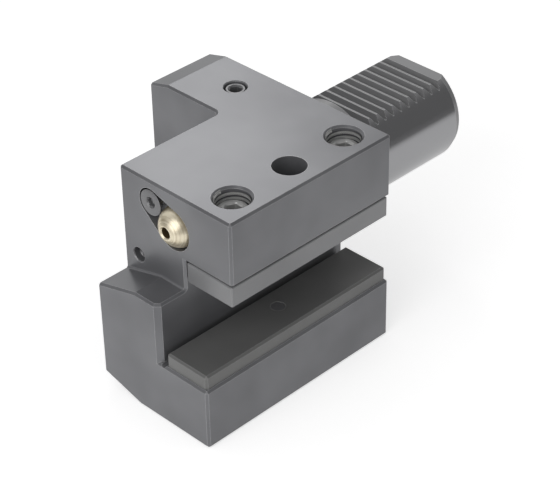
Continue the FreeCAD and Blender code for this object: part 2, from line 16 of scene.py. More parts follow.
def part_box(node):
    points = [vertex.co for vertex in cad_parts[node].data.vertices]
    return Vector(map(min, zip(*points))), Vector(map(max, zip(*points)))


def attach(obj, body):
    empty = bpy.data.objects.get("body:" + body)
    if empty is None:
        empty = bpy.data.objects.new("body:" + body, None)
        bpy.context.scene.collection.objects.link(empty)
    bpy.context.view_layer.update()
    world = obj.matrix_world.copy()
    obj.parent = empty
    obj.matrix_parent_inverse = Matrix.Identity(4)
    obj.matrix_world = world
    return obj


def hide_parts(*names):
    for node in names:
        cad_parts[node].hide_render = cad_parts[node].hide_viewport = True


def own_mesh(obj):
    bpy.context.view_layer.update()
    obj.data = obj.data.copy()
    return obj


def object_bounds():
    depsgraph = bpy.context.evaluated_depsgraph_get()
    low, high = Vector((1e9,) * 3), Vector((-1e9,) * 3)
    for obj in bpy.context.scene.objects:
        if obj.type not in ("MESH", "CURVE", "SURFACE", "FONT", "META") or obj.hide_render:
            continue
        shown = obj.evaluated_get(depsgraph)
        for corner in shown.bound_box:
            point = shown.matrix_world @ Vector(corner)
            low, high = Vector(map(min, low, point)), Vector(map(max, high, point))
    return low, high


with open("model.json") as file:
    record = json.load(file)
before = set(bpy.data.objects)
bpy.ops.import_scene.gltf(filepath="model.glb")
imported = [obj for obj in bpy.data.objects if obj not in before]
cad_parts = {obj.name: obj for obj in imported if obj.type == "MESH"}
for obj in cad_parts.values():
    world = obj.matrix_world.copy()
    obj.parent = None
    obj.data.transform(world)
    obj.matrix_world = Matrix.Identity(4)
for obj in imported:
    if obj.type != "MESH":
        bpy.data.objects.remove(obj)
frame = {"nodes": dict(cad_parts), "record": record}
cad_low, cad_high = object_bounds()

MM = 0.001
nodes = frame["nodes"]
scene = bpy.context.scene

# %% [markdown]
# ## The camera
# The photograph was taken with a long lens, from the right and in front of the holder and from well above it.
# The numbers below come from fitting a pinhole camera to the holder's corners. The camera is placed by its
# angles round the object, as a photographer would say it, and then turned by about one degree, because the
# original isn't quite level.

# %% Camera
AZIMUTH = math.radians(45.348)
ELEVATION = math.radians(34.846)
ROLL = math.radians(-1.055)
DISTANCE = 654.05 * MM
LOOK_AT = Vector((15.734, -25.0, -13.938)) * MM
SENSOR_WIDTH = 36.0
PICTURE_WIDTH = 560
FOCAL_PIXELS = 1941.9

towards_camera = Vector((math.sin(AZIMUTH) * math.cos(ELEVATION),
                         -math.cos(AZIMUTH) * math.cos(ELEVATION),
                         math.sin(ELEVATION)))
level_right = Vector((math.cos(AZIMUTH), math.sin(AZIMUTH), 0))
level_up = towards_camera.cross(level_right)
camera_right = level_right * math.cos(ROLL) + level_up * math.sin(ROLL)
camera_up = level_up * math.cos(ROLL) - level_right * math.sin(ROLL)

camera_data = bpy.data.cameras.new("photograph")
camera_data.sensor_width = SENSOR_WIDTH
camera_data.lens = FOCAL_PIXELS * SENSOR_WIDTH / PICTURE_WIDTH
camera_data.clip_start = 0.01
camera = bpy.data.objects.new("photograph", camera_data)
turn = Matrix((camera_right, camera_up, towards_camera)).transposed()
camera.matrix_world = Matrix.LocRotScale(LOOK_AT + towards_camera * DISTANCE, turn.to_quaternion(), None)
scene.collection.objects.link(camera)
scene.camera = camera
scene.view_settings.view_transform = "Standard"
print("lens:", round(camera_data.lens, 1), "mm, camera at", [round(v, 3) for v in camera.location])

# %% [markdown]
# ## Helpers for node trees
# The light, the table and the metals are all node trees. These small functions make the nodes that they share.


# %% Helpers for node trees
def feed(tree, value, entry):
    """Links a socket to a node's input, or sets a plain value on it."""
    if isinstance(value, bpy.types.NodeSocket):
        tree.links.new(value, entry)
    else:
        entry.default_value = value


def add_node(tree, kind, **values):
    """The first output of a new node. Capitalised names are its inputs, and the others are its settings."""
    node = tree.nodes.new(kind)
    for label, value in values.items():
        if label[0].isupper():
            feed(tree, value, node.inputs[label.replace("_", " ")])
        else:
            setattr(node, label, value)
    return node.outputs[0]


def arithmetic(tree, operation, first, second, clamp=False):
    """A Math node. Its operands are sockets or plain numbers."""
    node = tree.nodes.new("ShaderNodeMath")
    node.operation = operation
    node.use_clamp = clamp
    for entry, operand in zip(node.inputs, (first, second)):
        feed(tree, operand, entry)
    return node.outputs[0]


def eased(tree, value, start, end, low, high):
    """Runs softly from low to high while the value goes from start to end."""
    return add_node(tree, "ShaderNodeMapRange", interpolation_type="SMOOTHSTEP", Value=value,
                    From_Min=start, From_Max=end, To_Min=low, To_Max=high)


def object_place(tree):
    """The place on the object, in metres from the frame's origin."""
    return tree.nodes.new("ShaderNodeTexCoord").outputs["Object"]


def length_of(tree, vector):
    """The length of a vector."""
    node = tree.nodes.new("ShaderNodeVectorMath")
    node.operation = "LENGTH"
    tree.links.new(vector, node.inputs[0])
    return node.outputs["Value"]


def new_material(name):
    """A material, its node tree and its shader."""
    material = bpy.data.materials.new(name)
    material.use_nodes = True
    return material, material.node_tree, material.node_tree.nodes["Principled BSDF"]

# %% [markdown]
# ## Light
# A product photograph like this one uses a white table under large soft lights. The main light comes from
# behind and above, at the left: its reflection makes the top face the lightest. The rest of the room mirrors
# darker, so bevels and round walls show dark lines and bands. The world does that with a soft gradient,
# while the camera itself sees plain white. A wide weak lamp beside the camera opens the shadows in the slot.

# %% World
world = bpy.data.worlds.new("white_studio")
scene.world = world
world.use_nodes = True
sky = world.node_tree
sky.nodes.clear()
sky_out = sky.nodes.new("ShaderNodeOutputWorld")
sky_lit = sky.nodes.new("ShaderNodeBackground")
sky_seen = sky.nodes.new("ShaderNodeBackground")
sky_mix = sky.nodes.new("ShaderNodeMixShader")
sky_rays = sky.nodes.new("ShaderNodeLightPath")
SKY_LIGHT = 0.50
BRIGHT_SIDE = (-0.60, 0.55, 0.58)
SHADE_START, SHADE_END = 0.30, 0.95
DARKEST, BRIGHTEST = 0.20, 0.88
sky_direction = sky.nodes.new("ShaderNodeTexCoord")
sky_towards = sky.nodes.new("ShaderNodeVectorMath")
sky_towards.operation = "DOT_PRODUCT"
sky_towards.inputs[1].default_value = BRIGHT_SIDE
sky.links.new(sky_direction.outputs["Generated"], sky_towards.inputs[0])
sky_shade = eased(sky, sky_towards.outputs["Value"], SHADE_START, SHADE_END, DARKEST, BRIGHTEST)
sky_straight = arithmetic(sky, "MAXIMUM", sky_rays.outputs["Is Camera Ray"],
                          sky_rays.outputs["Is Transmission Ray"])
sky_mirrored = arithmetic(sky, "MAXIMUM", sky_straight, sky_rays.outputs["Is Glossy Ray"])
sky.links.new(arithmetic(sky, "MAXIMUM", sky_straight, sky_shade), sky_seen.inputs["Strength"])
sky_lit.inputs["Strength"].default_value = SKY_LIGHT
for background in (sky_lit, sky_seen):
    background.inputs["Color"].default_value = (1, 1, 1, 1)
sky.links.new(sky_mirrored, sky_mix.inputs[0])
sky.links.new(sky_lit.outputs[0], sky_mix.inputs[1])
sky.links.new(sky_seen.outputs[0], sky_mix.inputs[2])
sky.links.new(sky_mix.outputs[0], sky_out.inputs["Surface"])
print("world:", world.name)


# %% Lamps
def soft_lamp(name, place, aim, size, power):
    """A round lamp that looks from its place at its aim."""
    data = bpy.data.lights.new(name, "AREA")
    data.shape = "DISK"
    data.size = size
    data.energy = power
    lamp = bpy.data.objects.new(name, data)
    direction = Vector(aim) - Vector(place)
    lamp.matrix_world = Matrix.LocRotScale(Vector(place), direction.to_track_quat("-Z", "Y"), None)
    scene.collection.objects.link(lamp)


soft_lamp("back_lamp", (-0.54, 0.42, 0.50), (0, -0.05, 0.03), size=0.22, power=0.38)
soft_lamp("fill_lamp", (0.20, -0.93, 0.42), (0.02, -0.04, -0.02), size=1.00, power=4.3)

# %% [markdown]
# ## The table
# The holder stands on its base on a white table, one large sheet just below the base. Round the holder it is
# plain white paint that keeps the soft shadow. Farther out the paint gives way to the plain white that the
# camera sees all round, so no edge shows. Polished steel mirrors the bright table near it and the darker room
# beyond, which is what draws the dark band along the shank.

# %% Table
TABLE_HALF = 4.0
TABLE_GAP = 0.02 * MM
TABLE_NEAR = 0.22
TABLE_FAR = 0.55
PAINT = 0.80
SEEN_GLOW = 0.55
MIRRORED_GLOW = 0.35
table_z = cad_low.z - TABLE_GAP
table_corners = [(TABLE_HALF * x, TABLE_HALF * y, table_z) for x, y in ((-1, -1), (1, -1), (1, 1), (-1, 1))]
table_mesh = bpy.data.meshes.new("table")
table_mesh.from_pydata(table_corners, [], [(0, 1, 2, 3)])
table = bpy.data.objects.new("table", table_mesh)
scene.collection.objects.link(table)
table_paint, table_tree, table_shader = new_material("white_table")
table_shader.inputs["Roughness"].default_value = 0.9
table_shader.inputs["Specular IOR Level"].default_value = 0.0
table_shader.inputs["Emission Color"].default_value = (1, 1, 1, 1)
table_distance = length_of(table_tree, object_place(table_tree))


def fading(near_value, far_value):
    """A value on the table that changes softly from near the holder to far away."""
    return eased(table_tree, table_distance, TABLE_NEAR, TABLE_FAR, near_value, far_value)


table_rays = table_tree.nodes.new("ShaderNodeLightPath")
table_straight = arithmetic(table_tree, "MAXIMUM", table_rays.outputs["Is Camera Ray"],
                            table_rays.outputs["Is Transmission Ray"])
table_seen = arithmetic(table_tree, "MULTIPLY", table_straight, fading(SEEN_GLOW, 1.0))
table_mirrored = arithmetic(table_tree, "MULTIPLY", table_rays.outputs["Is Glossy Ray"],
                            fading(MIRRORED_GLOW, DARKEST))
table_glow = arithmetic(table_tree, "ADD", table_seen, table_mirrored)
table_tree.links.new(table_glow, table_shader.inputs["Emission Strength"])
table_tree.links.new(fading(PAINT, 0.0), table_shader.inputs["Base Color"])
table_mesh.materials.append(table_paint)
print("table at z =", round(table_z, 5))

# %% [markdown]
# ## Shared effects
# Machined steel shows three things that a plain grey doesn't: the edges catch light because they are never
# perfectly sharp, the ground faces carry fine parallel lines, and handling leaves faint clouds in the sheen.
# Each one is a small node group with named inputs, so that every metal can use it with its own values.


# %% Helpers for node groups
def new_group(name, inputs, outputs):
    """An empty shader node group, what comes in and what goes out."""
    group = bpy.data.node_groups.new(name, "ShaderNodeTree")
    for label, kind, value in inputs:
        group.interface.new_socket(name=label, in_out="INPUT", socket_type=kind).default_value = value
    for label, kind in outputs:
        group.interface.new_socket(name=label, in_out="OUTPUT", socket_type=kind)
    return group, group.nodes.new("NodeGroupInput").outputs, group.nodes.new("NodeGroupOutput").inputs


def noise(tree, place, scale, detail, roughness):
    """A noise texture, read at a vector socket."""
    return add_node(tree, "ShaderNodeTexNoise", Vector=place, Scale=scale, Detail=detail, Roughness=roughness)


def across_y(tree, place):
    """The coordinates of a place, and its distance from the Y axis."""
    axes = tree.nodes.new("ShaderNodeSeparateXYZ")
    tree.links.new(place, axes.inputs[0])
    across = add_node(tree, "ShaderNodeCombineXYZ", X=axes.outputs["X"], Z=axes.outputs["Z"])
    return axes.outputs, length_of(tree, across)


FLOAT = "NodeSocketFloat"
VECTOR = "NodeSocketVector"

# %% [markdown]
# ### Rounded edges and edge wear
# The Bevel node looks round each point and gives the normal that a slightly rounded edge would have. Where it
# differs from the true normal there is an edge, and that difference is also the mask for wear: a blackened
# surface is rubbed bright exactly there.

# %% Group: worn edges
BEVEL_SAMPLES = 6
CHIPS_PER_METRE = 900.0
WEAR_GAIN = 16.0
edge_group, edge_in, edge_out = new_group(
    "worn_edges",
    [("Rounding", FLOAT, 0.15 * MM), ("Wear Width", FLOAT, 0.4 * MM), ("Wear Strength", FLOAT, 1.0)],
    [("Normal", VECTOR), ("Wear", FLOAT)])
edge_round = add_node(edge_group, "ShaderNodeBevel", samples=BEVEL_SAMPLES, Radius=edge_in["Rounding"])
edge_wide = add_node(edge_group, "ShaderNodeBevel", samples=BEVEL_SAMPLES, Radius=edge_in["Wear Width"])
edge_surface = edge_group.nodes.new("ShaderNodeNewGeometry")
edge_compare = edge_group.nodes.new("ShaderNodeVectorMath")
edge_compare.operation = "DOT_PRODUCT"
edge_group.links.new(edge_wide, edge_compare.inputs[0])
edge_group.links.new(edge_surface.outputs["Normal"], edge_compare.inputs[1])
edge_bend = arithmetic(edge_group, "SUBTRACT", 1.0, edge_compare.outputs["Value"])
edge_chips = noise(edge_group, object_place(edge_group), CHIPS_PER_METRE, 4.0, 0.7)
edge_gain = arithmetic(edge_group, "MULTIPLY", edge_chips, WEAR_GAIN)
edge_broken = arithmetic(edge_group, "MULTIPLY", edge_bend, edge_gain)
edge_strength = arithmetic(edge_group, "MULTIPLY", edge_broken, edge_in["Wear Strength"], clamp=True)
edge_group.links.new(edge_round, edge_out["Normal"])
edge_group.links.new(edge_strength, edge_out["Wear"])
print("group:", edge_group.name)

# %% [markdown]
# ### Grinding lines
# A surface grinder leaves very fine straight lines. Stretching a noise about eighty times along one direction
# gives such lines. On these faces they run along the slot, so the pattern is stretched along Y. They vary only
# the sheen, and only a little.

# %% Group: grinding lines
line_group, line_in, line_out = new_group(
    "grinding_lines",
    [("Lines Per Metre", FLOAT, 6000.0), ("Stretch", FLOAT, 0.012)],
    [("Lines", FLOAT)])
line_squeeze = add_node(line_group, "ShaderNodeCombineXYZ", X=1.0, Y=line_in["Stretch"], Z=1.0)
line_scaled = line_group.nodes.new("ShaderNodeVectorMath")
line_scaled.operation = "MULTIPLY"
line_group.links.new(object_place(line_group), line_scaled.inputs[0])
line_group.links.new(line_squeeze, line_scaled.inputs[1])
line_noise = noise(line_group, line_scaled.outputs[0], line_in["Lines Per Metre"], 3.0, 0.6)
line_group.links.new(line_noise, line_out["Lines"])
print("group:", line_group.name)

# %% [markdown]
# ### Handling clouds
# Oil, fingers and the blackening bath leave soft patches a few centimetres wide and some finer grain. Two
# noises of different size are given out, so that each finish can use them as it needs.

# %% Group: handling clouds
cloud_group, cloud_in, cloud_out = new_group(
    "handling_clouds",
    [("Patches Per Metre", FLOAT, 36.0), ("Grain Per Metre", FLOAT, 1500.0)],
    [("Clouds", FLOAT), ("Grain", FLOAT)])
cloud_place = object_place(cloud_group)
cloud_large = noise(cloud_group, cloud_place, cloud_in["Patches Per Metre"], 2.0, 0.5)
cloud_fine = noise(cloud_group, cloud_place, cloud_in["Grain Per Metre"], 3.0, 0.6)
cloud_group.links.new(cloud_large, cloud_out["Clouds"])
cloud_group.links.new(cloud_fine, cloud_out["Grain"])
print("group:", cloud_group.name)

# %% [markdown]
# ### The ground shank
# The round wall of the shank is ground bright after the body was blackened, and the serration is milled into
# it and left dull. Both are found from the place alone: beyond the turret face Y is positive, and the ground
# wall is where the distance from the shank's axis is the full radius, below the height of the flat.

# %% Group: shank finish
SHANK_RADIUS = 20.0 * MM
FLAT_HEIGHT = 16.0 * MM
shank_group, shank_in, shank_out = new_group(
    "shank_finish",
    [("Start", FLOAT, 0.2 * MM), ("Radius", FLOAT, SHANK_RADIUS - 0.06 * MM),
     ("Top", FLOAT, FLAT_HEIGHT + 0.05 * MM)],
    [("Ground", FLOAT), ("Milled", FLOAT)])
shank_axes, shank_reach = across_y(shank_group, object_place(shank_group))
shank_beyond = arithmetic(shank_group, "GREATER_THAN", shank_axes["Y"], shank_in["Start"])
shank_wall = arithmetic(shank_group, "GREATER_THAN", shank_reach, shank_in["Radius"])
shank_below = arithmetic(shank_group, "LESS_THAN", shank_axes["Z"], shank_in["Top"])
shank_round = arithmetic(shank_group, "MULTIPLY", shank_wall, shank_below)
shank_ground = arithmetic(shank_group, "MULTIPLY", shank_beyond, shank_round)
shank_milled = arithmetic(shank_group, "SUBTRACT", shank_beyond, shank_ground)
shank_group.links.new(shank_ground, shank_out["Ground"])
shank_group.links.new(shank_milled, shank_out["Milled"])
print("group:", shank_group.name)

# %% [markdown]
# ## Metal finishes
# All the steels are built by one function, because they differ only in colour, sheen and wear: the body is
# satin grey, the screws are blackened, the pins are bright. The clamp screws and the threads of their holes are
# painted much lighter than blackened steel, a painted highlight for the thread rings that catch light down in
# the holes, and the clamp bar is painted a little lighter than the body, painted light where the slot shades
# it.
# The colour is a blend between a dark and a light tone that the clouds choose, and the wear mask adds bare
# metal at the edges. The shader itself stays in the material, and constant values are set on its own sockets.
#
# A finish's roughness stays wholly above or wholly below about 0.27. The renderer's noise filter treats
# smoother and rougher surfaces differently, and a patch that crossed that value would get a thin outline.


# %% Helpers for finishes
def group_node(tree, group, **values):
    """A node that uses a shared group with its own values."""
    node = tree.nodes.new("ShaderNodeGroup")
    node.node_tree = group
    for label, value in values.items():
        node.inputs[label.replace("_", " ")].default_value = value
    return node


def blend_colours(tree, share, first, second):
    """A colour mix. Each colour is a socket or a plain (red, green, blue)."""
    node = tree.nodes.new("ShaderNodeMix")
    node.data_type = "RGBA"
    tree.links.new(share, node.inputs["Factor"])
    for label, colour in (("A", first), ("B", second)):
        entry = [s for s in node.inputs if s.name == label and s.type == "RGBA"][0]
        feed(tree, (*colour, 1) if isinstance(colour, tuple) else colour, entry)
    return [s for s in node.outputs if s.type == "RGBA"][0]


NOISE_LOW, NOISE_HIGH = 0.22, 0.78


def spread(tree, value, low, high):
    """Stretches the middle of a noise value to run softly from low to high, so that no patch has an outline."""
    return eased(tree, value, NOISE_LOW, NOISE_HIGH, low, high)


def add_relief(tree, shader, height, normal, strength, distance):
    """Gives the shader a fine relief over the rounded edges' normal."""
    bump = add_node(tree, "ShaderNodeBump", Strength=strength, Distance=distance, Height=height, Normal=normal)
    tree.links.new(bump, shader.inputs["Normal"])


# %% Steel finish
CLOUDY_SHEEN = 0.018


def steel(name, dark, light, bare, roughness, metallic, rounding, wear_width, wear, lines, shank_finishes=()):
    """A steel from its tones, its sheen and its wear. The shank's finishes lie over the rest by their masks."""
    material, tree, shader = new_material(name)
    edges = group_node(tree, edge_group, Rounding=rounding, Wear_Width=wear_width, Wear_Strength=wear)
    clouds = group_node(tree, cloud_group)
    grinding = group_node(tree, line_group)
    tone = blend_colours(tree, spread(tree, clouds.outputs["Clouds"], 0.0, 1.0), dark, light)
    sheen = arithmetic(tree, "ADD",
                       spread(tree, grinding.outputs["Lines"], roughness - lines, roughness + lines),
                       spread(tree, clouds.outputs["Clouds"], -CLOUDY_SHEEN, CLOUDY_SHEEN))
    shader.inputs["Metallic"].default_value = metallic
    metal = metallic
    for mask_name, mask_tone, mask_roughness, mask_metallic in shank_finishes:
        mask = group_node(tree, shank_group).outputs[mask_name]
        tone = blend_colours(tree, mask, tone, mask_tone)
        sheen = arithmetic(tree, "ADD", sheen, arithmetic(tree, "MULTIPLY", mask, mask_roughness - roughness))
        metal = arithmetic(tree, "ADD", arithmetic(tree, "MULTIPLY", mask, mask_metallic - metallic), metal)
    if shank_finishes:
        tree.links.new(metal, shader.inputs["Metallic"])
    colour = blend_colours(tree, edges.outputs["Wear"], tone, bare)
    tree.links.new(colour, shader.inputs["Base Color"])
    tree.links.new(sheen, shader.inputs["Roughness"])
    add_relief(tree, shader, clouds.outputs["Grain"], edges.outputs["Normal"],
               strength=0.02, distance=0.04 * MM)
    return material


SHANK_FINISHES = (("Ground", (0.36, 0.36, 0.37), 0.17, 0.95), ("Milled", (0.25, 0.25, 0.255), 0.36, 0.40))
body_steel = steel("satin_body_steel", (0.162, 0.163, 0.173), (0.226, 0.228, 0.239), (0.55, 0.55, 0.56),
                   roughness=0.295, metallic=0.40, rounding=0.12 * MM, wear_width=0.38 * MM, wear=0.8,
                   lines=0.002, shank_finishes=SHANK_FINISHES)
plate_steel = steel("ground_plate_steel", (0.150, 0.150, 0.148), (0.195, 0.195, 0.192), (0.50, 0.50, 0.50),
                    roughness=0.30, metallic=0.30, rounding=0.12 * MM, wear_width=0.35 * MM, wear=0.5,
                    lines=0.002)
# The clamp bar is painted lighter than the body: painted light for the bar's faces that the slot shades.
bar_steel = steel("clamp_bar_steel", (0.220, 0.221, 0.227), (0.275, 0.276, 0.283), (0.50, 0.50, 0.51),
                  roughness=0.30, metallic=0.30, rounding=0.12 * MM, wear_width=0.30 * MM, wear=0.6,
                  lines=0.002)
screw_steel = steel("blackened_screw_steel", (0.17, 0.17, 0.176), (0.22, 0.22, 0.226), (0.42, 0.42, 0.43),
                    roughness=0.32, metallic=0.5, rounding=0.08 * MM, wear_width=0.20 * MM, wear=0.8,
                    lines=0.01)
# The threads are painted lighter than blackened steel: a painted highlight for the thread rings that catch
# light in the holes.
painted_light_thread_metal = steel("oiled_thread_steel", (0.46, 0.46, 0.455), (0.60, 0.60, 0.595), (0.75, 0.75, 0.74),
                     roughness=0.31, metallic=0.5, rounding=0.06 * MM, wear_width=0.15 * MM, wear=0.8,
                     lines=0.01)
pin_steel = steel("ground_pin_steel", (0.42, 0.42, 0.43), (0.5, 0.5, 0.51), (0.6, 0.6, 0.6),
                  roughness=0.21, metallic=1.0, rounding=0.08 * MM, wear_width=0.2 * MM, wear=0.2, lines=0.02)
spring_steel = steel("spring_wire", (0.30, 0.30, 0.30), (0.38, 0.38, 0.38), (0.5, 0.5, 0.5),
                     roughness=0.33, metallic=1.0, rounding=0.05 * MM, wear_width=0.1 * MM, wear=0.1,
                     lines=0.02)
steels = (body_steel, plate_steel, bar_steel, screw_steel, painted_light_thread_metal, pin_steel, spring_steel)
print("steels:", [m.name for m in steels])

# %% [markdown]
# ## Brass and rubber
# The nozzle's ball is turned brass that has dulled to a pale gold. Turning leaves rings round its axis, so its
# fine lines follow the distance from that axis. Its bore is painted dark, a painted shade for the hollow. The
# seal rings are plain nitrile rubber with a slight grain.

# %% Brass finish
BALL_CENTRE = (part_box("nozzle_seal")[0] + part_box("nozzle_seal")[1]) / 2
BORE_RADIUS = 1.94 * MM
RINGS_PER_METRE = 1500.0
DULL_BRASS, PALE_BRASS = (0.32, 0.23, 0.10), (0.99, 0.90, 0.70)
BORE_PAINTED_SHADE, RUBBED_BRASS = (0.20, 0.14, 0.07), (0.92, 0.87, 0.72)
brass, brass_tree, brass_shader = new_material("dulled_brass")
brass_edges = group_node(brass_tree, edge_group, Rounding=0.1 * MM, Wear_Width=0.25 * MM, Wear_Strength=0.5)
brass_clouds = group_node(brass_tree, cloud_group, Patches_Per_Metre=260.0, Grain_Per_Metre=3000.0)
brass_centred = add_node(brass_tree, "ShaderNodeMapping", Location=(-BALL_CENTRE.x, 0, -BALL_CENTRE.z),
                         Vector=object_place(brass_tree))
brass_radius = across_y(brass_tree, brass_centred)[1]
brass_turning = add_node(brass_tree, "ShaderNodeCombineXYZ", X=brass_radius)
brass_rings = noise(brass_tree, brass_turning, RINGS_PER_METRE, 3.0, 0.7)
brass_patina = arithmetic(brass_tree, "MULTIPLY", spread(brass_tree, brass_rings, 0.3, 1.4),
                          spread(brass_tree, brass_clouds.outputs["Clouds"], 0.55, 1.2))
# Painted shade: inside the bore, within its radius from the ball's axis, the brass is painted dark.
brass_bore_painted_shade = arithmetic(brass_tree, "LESS_THAN", brass_radius, BORE_RADIUS)
brass_tone = blend_colours(brass_tree, brass_patina, DULL_BRASS, PALE_BRASS)
brass_tone = blend_colours(brass_tree, brass_bore_painted_shade, brass_tone, BORE_PAINTED_SHADE)
brass_tone = blend_colours(brass_tree, brass_edges.outputs["Wear"], brass_tone, RUBBED_BRASS)
brass_sheen = spread(brass_tree, brass_clouds.outputs["Clouds"], 0.28, 0.38)
brass_tree.links.new(brass_tone, brass_shader.inputs["Base Color"])
brass_tree.links.new(brass_sheen, brass_shader.inputs["Roughness"])
brass_shader.inputs["Metallic"].default_value = 0.65
add_relief(brass_tree, brass_shader, brass_rings, brass_edges.outputs["Normal"],
           strength=0.15, distance=0.05 * MM)
print("ball turned about x", round(BALL_CENTRE.x, 4), "z", round(BALL_CENTRE.z, 4))

# %% Rubber finish
rubber, rubber_tree, rubber_shader = new_material("black_seal_rubber")
rubber_clouds = group_node(rubber_tree, cloud_group, Patches_Per_Metre=300.0, Grain_Per_Metre=5000.0)
rubber_tone = blend_colours(rubber_tree, rubber_clouds.outputs["Clouds"], (0.012, 0.012, 0.012),
                            (0.03, 0.03, 0.03))
rubber_sheen = spread(rubber_tree, rubber_clouds.outputs["Grain"], 0.5, 0.65)
rubber_tree.links.new(rubber_tone, rubber_shader.inputs["Base Color"])
rubber_tree.links.new(rubber_sheen, rubber_shader.inputs["Roughness"])
print("rubber:", rubber.name)

# %% [markdown]
# ## Finishes on the solids
# Every solid whose shape is already right keeps its mesh and only gets a finish. The finish is chosen by the
# material slot that the frame's record names for it.

# %% Dress the solids
FINISHES = {"body_steel": body_steel, "plate_steel": plate_steel, "bar_steel": bar_steel,
            "screw_steel": screw_steel, "pin_steel": pin_steel, "spring_steel": spring_steel,
            "nozzle_brass": brass, "seal_rubber": rubber}
for row in frame["record"]["subparts"]:
    mesh = nodes[row["node"]].data
    mesh.materials.clear()
    mesh.materials.append(FINISHES[row["material_slot"]])
print("dressed:", len(nodes))

# %% [markdown]
# ## Turned pieces with a hexagon socket
# Screws and plugs are turned round an axis, but their sockets are six-sided. One mesh does both: each ring of
# points has its own outline, a circle or a hexagon, and neighbouring rings are joined. With a number of points
# that six divides, the hexagon's corners fall exactly on points.


# %% Turned and socketed meshes
SIDES = 72
SOCKET_RIM = 0.35 * MM
SOCKET_MOUTH = 0.3 * MM
SOCKET_EDGE = 0.55 * MM
DRILL_POINT = 0.9 * MM
SHARP_FROM = math.radians(32)


def circle(angle):
    """The round outline."""
    return 1.0


def hexagon(angle):
    """Distance from the centre to a hexagon whose corners lie at 1."""
    sector = math.radians(60)
    off_centre = (angle % sector) - sector / 2
    return math.cos(sector / 2) / math.cos(off_centre)


def turned_mesh(stations, at, along, across):
    """Vertices and faces of rings (radius, height, outline) round an axis; a radius of 0 is a single point."""
    side = Vector(along).cross(Vector(across))
    vertices, rings, faces = [], [], []
    for radius, height, outline in stations:
        start = len(vertices)
        count = 1 if radius == 0 else SIDES
        for i in range(count):
            angle = 2 * math.pi * i / SIDES
            reach = radius * outline(angle)
            vertices.append(Vector(at) + Vector(along) * height
                            + (Vector(across) * math.cos(angle) + side * math.sin(angle)) * reach)
        rings.append((start, count))
    for (first, first_count), (second, second_count) in zip(rings, rings[1:]):
        for i in range(SIDES):
            j = (i + 1) % SIDES
            if first_count == 1:
                faces.append((first, second + j, second + i))
            elif second_count == 1:
                faces.append((first + i, first + j, second))
            else:
                faces.append((first + i, first + j, second + j, second + i))
    return vertices, faces


def new_piece(name, vertices, faces, material):
    """A smooth mesh whose steep edges stay sharp."""
    mesh = bpy.data.meshes.new(name)
    mesh.from_pydata([tuple(v) for v in vertices], [], faces)
    mesh.materials.append(material)
    mesh.polygons.foreach_set("use_smooth", [True] * len(mesh.polygons))
    mesh.set_sharp_from_angle(angle=SHARP_FROM)
    piece = bpy.data.objects.new(name, mesh)
    scene.collection.objects.link(piece)
    return piece


def socket(width, top, depth):
    """Rings of a hexagon socket from its countersunk mouth down to the drill point at its bottom."""
    corner = width / math.sqrt(3)
    floor = top - depth
    return [(corner + SOCKET_RIM, top, circle), (corner * 1.01, top - SOCKET_MOUTH, circle),
            (corner, top - SOCKET_EDGE, hexagon), (corner, floor, hexagon), (corner * 0.8, floor, circle),
            (0, floor - DRILL_POINT, circle)]


print("a socket 6 mm wide has", len(socket(6 * MM, 0, 0)), "rings of", SIDES, "points")

# %% [markdown]
# ## Threads
# A thread is one ridge that winds round a cylinder, so it follows a path: a Geometry Nodes tree sweeps a
# four-sided ridge along a spiral. The same tree makes the screws' threads, which point outwards, and the
# threads in the holes, which point inwards. Its ends fade out by shrinking the ridge, as a cut thread does.


# %% Helpers for Geometry Nodes trees
def new_tree(name, sizes):
    """An empty tree, what comes in, which is these sizes and a material, and what goes out."""
    tree = bpy.data.node_groups.new(name, "GeometryNodeTree")
    tree.interface.new_socket(name="Geometry", in_out="OUTPUT", socket_type="NodeSocketGeometry")
    for label, value in sizes.items():
        kind = "NodeSocketInt" if isinstance(value, int) else "NodeSocketFloat"
        tree.interface.new_socket(name=label, in_out="INPUT", socket_type=kind).default_value = value
    tree.interface.new_socket(name="Material", in_out="INPUT", socket_type="NodeSocketMaterial")
    return tree, tree.nodes.new("NodeGroupInput").outputs, tree.nodes.new("NodeGroupOutput").inputs


def end_tree(tree, shape, tree_in, tree_out):
    """Makes the instances real, paints them with the tree's material and gives them out."""
    real = add_node(tree, "GeometryNodeRealizeInstances", Geometry=shape)
    painted = add_node(tree, "GeometryNodeSetMaterial", Geometry=real, Material=tree_in["Material"])
    tree.links.new(painted, tree_out["Geometry"])
    print("tree:", tree.name, "with", len(tree.nodes), "nodes")


def grown(name, tree, **values):
    """The plain mesh that a tree gives with these input values, as a new object."""
    piece = bpy.data.objects.new(name, bpy.data.meshes.new(name + "_seed"))
    scene.collection.objects.link(piece)
    modifier = piece.modifiers.new("grow", "NODES")
    modifier.node_group = tree
    for item in tree.interface.items_tree:
        key = item.name.replace(" ", "_")
        if item.item_type == "SOCKET" and item.in_out == "INPUT" and key in values:
            modifier[item.identifier] = values[key]
    evaluated = piece.evaluated_get(bpy.context.evaluated_depsgraph_get())
    mesh = bpy.data.meshes.new_from_object(evaluated)
    piece.modifiers.clear()
    piece.data = mesh
    return piece


